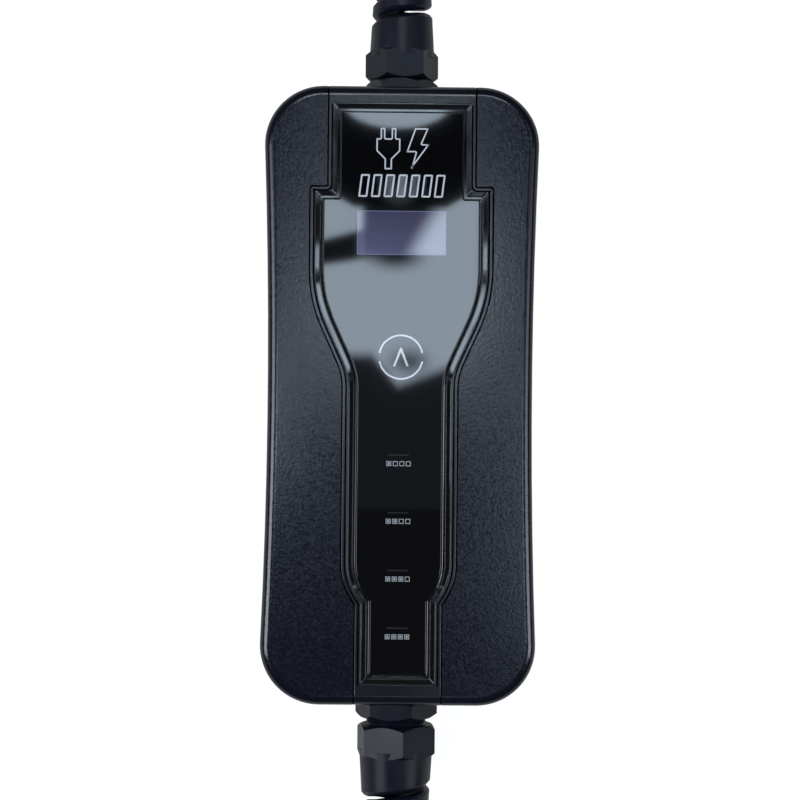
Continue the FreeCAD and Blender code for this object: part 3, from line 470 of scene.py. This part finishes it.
# Lens gasket: a half-round bead of black rubber on the bezel's ledge, from the shoulders down round the foot.
# Its smooth crown draws a thin line of light between the bezel's slope and the lens.
ledge_sink = 0.5
lens_rounding = 0.3
gasket_gap = 0.26
gasket_radius = 0.42
gasket_steps = 8
gasket_head = 71.4
gasket_rubber, shader, place = finish_named("smooth_gasket_rubber", 0.06, 1.6)
dust = speckle(gasket_rubber, place, 1.5, 3.0)
join(gasket_rubber, tint(gasket_rubber, dust, "#08090b", "#0e0f12"), shader, "Base Color")
press_in(gasket_rubber, shader, dust, 0.003)
gasket = flat_top("display_lens")
gasket_middle = lens_rounding + gasket_gap + gasket_radius
crown = [math.pi * i / gasket_steps for i in range(gasket_steps + 1)]
section = [(gasket_middle - gasket_radius * math.cos(turned), gasket_radius * math.sin(turned))
           for turned in crown]
band_along(gasket, section + section[:1])
bmesh.ops.remove_doubles(gasket, verts=list(gasket.verts), dist=merge_distance * mm)
bmesh.ops.bisect_plane(gasket, geom=list(gasket.verts) + list(gasket.edges) + list(gasket.faces),
                       plane_co=(0.0, gasket_head * mm, 0.0), plane_no=(0.0, 1.0, 0.0), clear_outer=True)
bmesh.ops.holes_fill(gasket, edges=[e for e in gasket.edges if e.is_boundary])
bmesh.ops.translate(gasket, vec=(0.0, 0.0, (line_gap - ledge_sink) * mm), verts=list(gasket.verts))
bmesh.ops.recalc_face_normals(gasket, faces=list(gasket.faces))
gasket_piece = piece_from(gasket, "lens_gasket", gasket_rubber)

# Display window: the gap in the lens's black print through which the display's violet glass shows.
# A light hairline all round it, where the print ends, is a painted highlight.
lens_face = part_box("display_lens")[1].z
print_gap = 0.004
print_proud = 0.03
window_centre = (0.05, 58.82)
window_size = (32.3, 16.05)
painted_highlight_hairline = 0.28
film_ior = 1.62


def print_finish(name, colour):
    """Ink as it is seen through the lens: a flat colour under the lens's own gloss."""
    ink, shader, place = finish_named(name, lens_roughness, lens_ior)
    shader.inputs["Base Color"].default_value = linear(colour)
    swell = speckle(ink, place, 30.0, 1.0)
    press_in(ink, shader, swell, 0.006)
    return ink, shader, place


def flat_face(shape, corners, rounding=0.0):
    """A flat polygon on the lens, its corners given in millimetres and rounded off."""
    points = [shape.verts.new((x * mm, y * mm, lens_face + print_gap * mm)) for x, y in corners]
    face = shape.faces.new(points)
    face.normal_update()
    if rounding:
        bmesh.ops.bevel(shape, geom=points, offset=rounding * mm, offset_type="OFFSET", affect="VERTICES",
                        segments=4, profile=0.5, material=-1, clamp_overlap=True)
        shape.faces.ensure_lookup_table()
        face = shape.faces[-1]
    return face


def outline(shape, corners, stroke, rounding=0.0, keep_inside=False):
    """A flat outline of this width, drawn inside the polygon's edge."""
    before = set(shape.faces)
    flat_face(shape, corners, rounding)
    made = [f for f in shape.faces if f not in before]
    bmesh.ops.inset_region(shape, faces=made, thickness=stroke * mm, use_even_offset=True, use_boundary=True)
    if keep_inside:
        for face in made:
            face.material_index = 1
    else:
        bmesh.ops.delete(shape, geom=made, context="FACES")


def rectangle(centre, size):
    """The corners of an upright rectangle."""
    x, y = centre
    half_wide, half_high = size[0] / 2, size[1] / 2
    return [(x - half_wide, y - half_high), (x + half_wide, y - half_high),
            (x + half_wide, y + half_high), (x - half_wide, y + half_high)]


# The hairline's light grey is a painted highlight along the print's edge.
window_highlight_ink, shader, place = print_finish("painted_highlight_hairline", "#77789a")
window_glass, shader, place = print_finish("violet_display_film", "#45425b")
shader.inputs["IOR"].default_value = film_ior
cloud = speckle(window_glass, place, 10.0, 1.0)
# Painted light: the film's colour is painted lighter toward its foot.
down = add(window_glass, "ShaderNodeSeparateXYZ", {"Vector": place}).outputs["Y"]
painted_light_ramp = between(window_glass, down, 67.0, 51.0, 0.0, 0.85)
soft = add(window_glass, "ShaderNodeMath", {0: painted_light_ramp, 1: between(window_glass, cloud, 0.3, 0.7, -0.1, 0.1)},
           operation="ADD", use_clamp=True)
join(window_glass, tint(window_glass, soft.outputs["Value"], "#3f3d54", "#5d5a7a"), shader, "Base Color")
window = bmesh.new()
outline(window, rectangle(window_centre, window_size), painted_highlight_hairline, keep_inside=True)
thicken(window, print_proud)
window_piece = piece_from(window, "display_window", window_highlight_ink, window_glass)

# Emblem: two outlined signs over a row of seven outlined charge cells, printed in silver white.
# The plug and the bolt stand for the kind of device, and only the middle cells are filled.
emblem_stroke = 0.5
emblem_rounding = 0.25
cell_count = 7
cell_foot = 71.8
cell_head = 80.1
cell_row_half = 16.0
cell_stroke = 0.62
cell_rounding = 0.5
cell_lean = 1.0
cell_gap = 0.3
shade_start = 1.5
shade_end = 9.5
silver_ink, shader, place = print_finish("silver_white_ink", "#d3d6dc")
cell_fill, shader, place = print_finish("shaded_grey_ink", "#70747b")
along = add(cell_fill, "ShaderNodeSeparateXYZ", {"Vector": place}).outputs["X"]
apart = add(cell_fill, "ShaderNodeMath", {0: along}, operation="ABSOLUTE").outputs["Value"]
fade = between(cell_fill, apart, shade_start, shade_end, 1.0, 0.0)
join(cell_fill, tint(cell_fill, fade, "#0b0b0e", "#70747b"), shader, "Base Color")

emblem = bmesh.new()
plug = [(-9.4, 93.2), (-7.9, 93.2), (-7.9, 97.0), (-6.2, 97.0), (-6.2, 93.2), (-3.9, 93.2), (-3.9, 97.0),
        (-2.2, 97.0), (-2.2, 93.2), (-0.7, 93.2), (-0.7, 88.6), (-3.7, 85.6), (-3.7, 81.9), (-6.4, 81.9),
        (-6.4, 85.6), (-9.4, 88.6)]
bolt = [(4.6, 97.0), (9.6, 97.0), (7.1, 91.2), (9.9, 91.2), (3.2, 81.9), (4.9, 88.2), (1.5, 88.2)]
for sign in (plug, bolt):
    outline(emblem, sign, emblem_stroke, emblem_rounding)
thicken(emblem, print_proud)
emblem_piece = piece_from(emblem, "emblem_signs", silver_ink)

cells = bmesh.new()
cell_pitch = 2 * cell_row_half / cell_count
for i in range(cell_count):
    middle = (i - (cell_count - 1) / 2) * cell_pitch
    half = (cell_pitch - cell_gap) / 2
    outline(cells, [(middle - half, cell_foot), (middle + half - cell_lean, cell_foot),
                    (middle + half, cell_head), (middle - half + cell_lean, cell_head)],
            cell_stroke, cell_rounding, keep_inside=True)
thicken(cells, print_proud)
cells_piece = piece_from(cells, "emblem_cells", silver_ink, cell_fill)

# Touch key mark: a ring broken at both sides round a plain upward chevron, in the same ink.
# It shows where a finger switches the current, and has no travel.
touch_centre = (0.2, 13.75)
ring_radius = 7.9
ring_stroke = 0.62
ring_gap = math.radians(11)
ring_steps = 48
chevron_half = 2.8
chevron_height = 6.6
chevron_stroke = 0.75
chevron_notch = 1.9
touch = bmesh.new()
centre = Vector((touch_centre[0] * mm, touch_centre[1] * mm, lens_face + print_gap * mm))
for side in (0.0, math.pi):
    start = side + ring_gap
    along = Vector((math.cos(start), math.sin(start), 0.0)) * mm
    ends = [touch.verts.new(centre + along * (ring_radius + w * ring_stroke / 2)) for w in (-1, 1)]
    edge = touch.edges.new(ends)
    bmesh.ops.spin(touch, geom=ends + [edge], cent=centre, axis=(0.0, 0.0, 1.0),
                   angle=math.pi - 2 * ring_gap, steps=ring_steps, use_merge=False)
middle = touch_centre[0]
foot = touch_centre[1] - chevron_height / 2
head = touch_centre[1] + chevron_height / 2
flat_face(touch, [(middle - chevron_half, foot), (middle - chevron_half + chevron_stroke, foot),
                  (middle, head - chevron_notch * chevron_stroke),
                  (middle + chevron_half - chevron_stroke, foot), (middle + chevron_half, foot),
                  (middle + chevron_stroke / 2, head), (middle - chevron_stroke / 2, head)])
thicken(touch, print_proud)
touch_piece = piece_from(touch, "touch_mark", silver_ink)

# Status lights: a smoked bar in the print over each light guide, and under it a sign of four cells.
# Unlit, the bars only show as faint grey dashes. One to four filled cells tell the lights apart.
bar_middle = -0.3
bar_places = (-21.79, -42.66, -63.53, -84.4)
bar_size = (7.5, 0.5)
sign_cells = 4
sign_drop = 3.1
sign_cell = 1.8
sign_pitch = 2.35
sign_stroke = 0.28
sign_dot = 0.8
smoke, shader, place = print_finish("smoked_print", "#2b2d30")
sign_ink, shader, place = print_finish("grey_white_ink", "#a4a7ab")
bars = bmesh.new()
signs = bmesh.new()
for count, y in enumerate(bar_places, 1):
    flat_face(bars, rectangle((bar_middle, y), bar_size))
    for i in range(sign_cells):
        box_centre = (bar_middle + (i - (sign_cells - 1) / 2) * sign_pitch, y - sign_drop)
        outline(signs, rectangle(box_centre, (sign_cell, sign_cell)), sign_stroke)
        if i < count:
            flat_face(signs, rectangle(box_centre, (sign_dot, sign_dot)))
thicken(bars, print_proud)
bars_piece = piece_from(bars, "status_bars", smoke)
thicken(signs, print_proud)
signs_piece = piece_from(signs, "status_signs", sign_ink)

# Cable glands: body, lock nut and dome nut with its spiral bend relief, moulded in black polyamide.
# The moulded skin is satin with a faint flow grain, and duller than the housing.
gland_roughness = 0.36
gland_gloss = 0.25
gland_polyamide, shader, place = finish_named("black_polyamide", gland_roughness, 1.53)
skin = speckle(gland_polyamide, place, 0.35, 3.0)
drift = speckle(gland_polyamide, place, 7.0, 3.0)
join(gland_polyamide, tint(gland_polyamide, drift, "#0d101a", "#131724"), shader, "Base Color")
join(gland_polyamide, between(gland_polyamide, drift, 0.3, 0.7, gland_roughness - 0.06,
                              gland_roughness + 0.08), shader, "Roughness")
shader.inputs["Specular IOR Level"].default_value = gland_gloss
press_in(gland_polyamide, shader, skin, 0.006)
dress(gland_polyamide, "supply_gland_body", "supply_gland_locknut", "supply_gland_nut",
      "vehicle_gland_body", "vehicle_gland_locknut", "vehicle_gland_nut")
dress(seal_rubber, "supply_gland_washer", "supply_gland_seal", "vehicle_gland_washer", "vehicle_gland_seal")

# Screws: zinc-plated steel with cross recesses, six through the rear cover and nine in the boards.
# The plating is bright, with fine turning marks from the heading.
screw_steel, shader, place = finish_named("zinc_plated_steel", 0.32, 1.5, metallic=1.0)
wear = speckle(screw_steel, place, 1.5, 4.0)
join(screw_steel, tint(screw_steel, wear, "#a8a9ab", "#c6c8ca"), shader, "Base Color")
press_in(screw_steel, shader, speckle(screw_steel, place, 0.2), 0.003)
dress(screw_steel, "cover_screws", "board_screws", "display_board_screws")

# Floor: a white sweep under the object. It is plain white to the camera and in gloss,
# and a share of it is lit, so that the object's shadow stays on it.
floor_half = 4.0
floor_glow = 0.9
floor_gloss = 0.4
floor_colour = "#8c8c8c"
floor_shape = bmesh.new()
bmesh.ops.create_grid(floor_shape, x_segments=1, y_segments=1, size=floor_half)
floor_mesh = bpy.data.meshes.new("floor")
floor_shape.to_mesh(floor_mesh)
floor_shape.free()
floor = bpy.data.objects.new("floor", floor_mesh)
bpy.context.scene.collection.objects.link(floor)
floor_paint = bpy.data.materials.new("white_sweep")
floor_paint.use_nodes = True
floor_mesh.materials.append(floor_paint)
paint = floor_paint.node_tree.nodes["Principled BSDF"]
paint.inputs["Base Color"].default_value = linear(floor_colour)
paint.inputs["Roughness"].default_value = 0.9
paint.inputs["Emission Color"].default_value = (1.0, 1.0, 1.0, 1.0)
rays = add(floor_paint, "ShaderNodeLightPath").outputs
gloss = add(floor_paint, "ShaderNodeMath", {0: rays["Is Glossy Ray"], 1: floor_gloss}, operation="MULTIPLY")
seen = add(floor_paint, "ShaderNodeMath", {0: rays["Is Camera Ray"], 1: gloss.outputs["Value"]},
           operation="MAXIMUM")
seen = add(floor_paint, "ShaderNodeMath", {0: seen.outputs["Value"], 1: rays["Is Transmission Ray"]},
           operation="MAXIMUM")
seen = add(floor_paint, "ShaderNodeMath", {0: seen.outputs["Value"], 1: floor_glow}, operation="MULTIPLY")
floor_paint.node_tree.links.new(seen.outputs["Value"], paint.inputs["Emission Strength"])

# Room: dark over the object, so that the lens stays black, and white to the camera behind it.
room_light = 0.05
room = bpy.data.worlds.new("dark_studio")
room.use_nodes = True
bpy.context.scene.world = room
sky = room.node_tree.nodes["Background"]
sky.inputs["Color"].default_value = (1.0, 1.0, 1.0, 1.0)
rays = add(room, "ShaderNodeLightPath").outputs
seen = add(room, "ShaderNodeMapRange", {"Value": rays["Is Camera Ray"], "To Min": room_light, "To Max": 1.0})
room.node_tree.links.new(seen.outputs["Result"], sky.inputs["Strength"])

# Softboxes: a long strip on each side and one at the head for the lines along the edges. Over the object hang
# a patterned one that the lens mirrors, a wing on each side for the covers' broad sheen, four small patches
# for the bezel's slopes and a dim panel for its shoulders.
softbox_tone = (0.93, 1.0, 1.09)
mirrored_tone = (0.83, 1.0, 1.18)


def lamp_panel(name, low, high, place, strength, tone=softbox_tone):
    """A glowing panel between two corners, that the camera itself doesn't see."""
    shape = bmesh.new()
    bmesh.ops.create_grid(shape, x_segments=1, y_segments=1, size=0.5)
    bmesh.ops.scale(shape, vec=(high[0] - low[0], high[1] - low[1], 1.0), verts=list(shape.verts))
    bmesh.ops.translate(shape, vec=((high[0] + low[0]) / 2, (high[1] + low[1]) / 2, 0.0),
                        verts=list(shape.verts))
    mesh = bpy.data.meshes.new(name)
    shape.to_mesh(mesh)
    shape.free()
    panel = bpy.data.objects.new(name, mesh)
    bpy.context.scene.collection.objects.link(panel)
    panel.matrix_world = place
    panel.visible_camera = False
    glow = bpy.data.materials.new(name)
    glow.use_nodes = True
    glow.node_tree.nodes.remove(glow.node_tree.nodes["Principled BSDF"])
    lamp = add(glow, "ShaderNodeEmission", {"Color": (*tone, 1.0), "Strength": strength})
    surface = glow.node_tree.nodes["Material Output"].inputs["Surface"]
    glow.node_tree.links.new(lamp.outputs["Emission"], surface)
    mesh.materials.append(glow)
    return glow, lamp


strip_distance = 1.3
strip_lean = math.radians(51.0)
strip_low, strip_high = (-0.35, -0.4), (0.35, 0.3)
for side, name, foot_end, head_end, foot, head in ((-1, "left_strip", -0.13, 0.27, 7.8, 2.2),
                                                   (1, "right_strip", -0.2, 0.25, 6.1, 0.2)):
    place = Matrix.Rotation(side * strip_lean, 4, "Y") @ Matrix.Translation((0.0, 0.0, strip_distance))
    glow, lamp = lamp_panel(name, strip_low, strip_high, place, foot)
    along = add(glow, "ShaderNodeTexCoord").outputs["Object"]
    along = add(glow, "ShaderNodeSeparateXYZ", {"Vector": along}).outputs["Y"]
    fall = add(glow, "ShaderNodeMapRange", {"Value": along, "From Min": foot_end, "From Max": head_end,
                                            "To Min": foot, "To Max": head})
    glow.node_tree.links.new(fall.outputs["Result"], lamp.inputs["Strength"])
head_lean = math.radians(25.0)
head_light = 13.0
place = Matrix.Rotation(-head_lean, 4, "X") @ Matrix.Translation((0.0, 0.0, strip_distance))
lamp_panel("head_panel", (-0.26, -0.035), (0.26, 0.035), place, head_light)

overhead_height = 1.5
overhead_light = 7.4
overhead = Matrix.Translation((0.0, 0.0, lens_face + overhead_height))
middle_low, middle_high = (-0.072, -0.10), (0.106, 0.42)
glow, lamp = lamp_panel("overhead_softbox", middle_low, middle_high, overhead, overhead_light, mirrored_tone)
for name, low, high, light in (("left_wing", (-0.55, -0.07), (-0.14, 0.09), 6.0),
                               ("right_wing", (0.18, -0.25), (0.55, 0.07), 3.4),
                               ("left_low_patch", (-0.795, 0.17), (-0.75, 0.212), 9.0),
                               ("left_high_patch", (-0.785, 0.277), (-0.712, 0.6), 7.0),
                               ("right_low_patch", (0.797, 0.17), (0.842, 0.212), 9.0),
                               ("right_high_patch", (0.759, 0.277), (0.832, 0.6), 7.0),
                               ("shoulder_panel", (-0.05, -0.7), (0.16, -0.535), 1.1)):
    lamp_panel(name, low, high, overhead, light, mirrored_tone)

# The pattern of the middle softbox is built of soft masks, whose places are millimetres across and up it.
spot = add(glow, "ShaderNodeTexCoord").outputs["Object"]
spot = add(glow, "ShaderNodeVectorMath", {0: spot, 1: (1 / mm, 1 / mm, 0.0)},
           operation="MULTIPLY").outputs["Vector"]
spot_parts = add(glow, "ShaderNodeSeparateXYZ", {"Vector": spot}).outputs
x_place, y_place = spot_parts["X"], spot_parts["Y"]


def soft_step(value, low, high, start=0.0, end=1.0):
    """Goes smoothly from start to end while the value goes from low to high."""
    step = add(glow, "ShaderNodeMapRange",
               {"Value": value, "From Min": low, "From Max": high, "To Min": start, "To Max": end},
               interpolation_type="SMOOTHSTEP")
    return step.outputs["Result"]


def blend(first, second, how):
    """Two masks or places put together."""
    return add(glow, "ShaderNodeMath", {0: first, 1: second}, operation=how).outputs["Value"]


def oval(centre, radii, inner):
    """1 inside an oval and 0 outside it, with a soft edge that starts at the inner share."""
    moved = add(glow, "ShaderNodeVectorMath", {0: spot, 1: (centre[0], centre[1], 0.0)}, operation="SUBTRACT")
    scaled = add(glow, "ShaderNodeVectorMath",
                 {0: moved.outputs["Vector"], 1: (1 / radii[0], 1 / radii[1], 1.0)}, operation="MULTIPLY")
    reach = add(glow, "ShaderNodeVectorMath", {0: scaled.outputs["Vector"]}, operation="LENGTH")
    return soft_step(reach.outputs["Value"], inner, 1.0, 1.0, 0.0)


def line_over(across, slope, start):
    """How far up a slanting line lies over a place across the softbox."""
    line = add(glow, "ShaderNodeMath", {0: across, 1: slope, 2: start}, operation="MULTIPLY_ADD")
    return line.outputs["Value"]


def above(line):
    """How far a place on the softbox lies above a line."""
    return blend(y_place, line, "SUBTRACT")


def both(*parts):
    """The product of several soft masks."""
    whole = parts[0]
    for part in parts[1:]:
        whole = blend(whole, part, "MULTIPLY")
    return whole


# The main band: a level head edge that rises at both sides, and a foot edge that comes to a blunt point.
past_middle = blend(blend(x_place, 16.7, "SUBTRACT"), 0.0, "ABSOLUTE")
past_level = blend(blend(past_middle, 51.5, "SUBTRACT"), 0.0, "MAXIMUM")
under_head = both(soft_step(above(line_over(past_level, 0.57, 236.5)), -2.0, 2.0, 1.0, 0.0),
                  soft_step(y_place, 258.0, 262.0, 1.0, 0.0))
foot_edge = blend(line_over(x_place, 0.38, 30.0), line_over(x_place, -1.18, 54.7), "MAXIMUM")
foot_edge = blend(foot_edge, 70.0, "MINIMUM")
ring_shade = oval((28.0, 66.0), (34.0, 22.0), 0.0)
low_shade = both(oval((12.0, 184.0), (46.0, 24.0), 0.15), soft_step(y_place, 182.0, 188.0, 1.0, 0.0))
window_shade = both(soft_step(above(line_over(x_place, 1.73, 135.0)), -26.0, 26.0),
                    soft_step(x_place, -31.0, -19.0), soft_step(y_place, 174.0, 188.0))
arm_shade = both(soft_step(above(line_over(x_place, 0.27, 218.0)), -4.0, 4.0, 1.0, 0.0),
                 soft_step(above(line_over(x_place, 0.16, 183.0)), -5.0, 4.0),
                 soft_step(x_place, -36.0, -6.0, 1.0, 0.0))
arm_clear = blend(1.0, arm_shade, "SUBTRACT")
main_band = both(soft_step(above(foot_edge), -6.0, 12.0), under_head,
                 blend(1.0, blend(ring_shade, 0.8, "MULTIPLY"), "SUBTRACT"),
                 blend(1.0, blend(low_shade, 0.93, "MULTIPLY"), "SUBTRACT"),
                 blend(1.0, window_shade, "SUBTRACT"), arm_clear)
# Over the band a bright oval at the head, and a faint glow that also reaches the lens's foot.
head_glare = oval((12.7, 352.0), (63.0, 30.0), 0.86)
dim_band = both(soft_step(y_place, -100.0, -95.0), soft_step(y_place, 232.0, 240.0, 0.023, 0.0), arm_clear)
cell_glare = blend(oval((15.0, 252.0), (26.0, 22.0), 0.0), 0.12, "MULTIPLY")
pattern = main_band
for glare in (head_glare, dim_band, cell_glare):
    pattern = blend(pattern, glare, "MAXIMUM")
pattern = blend(pattern, overhead_light, "MULTIPLY")
glow.node_tree.links.new(pattern, lamp.inputs["Strength"])
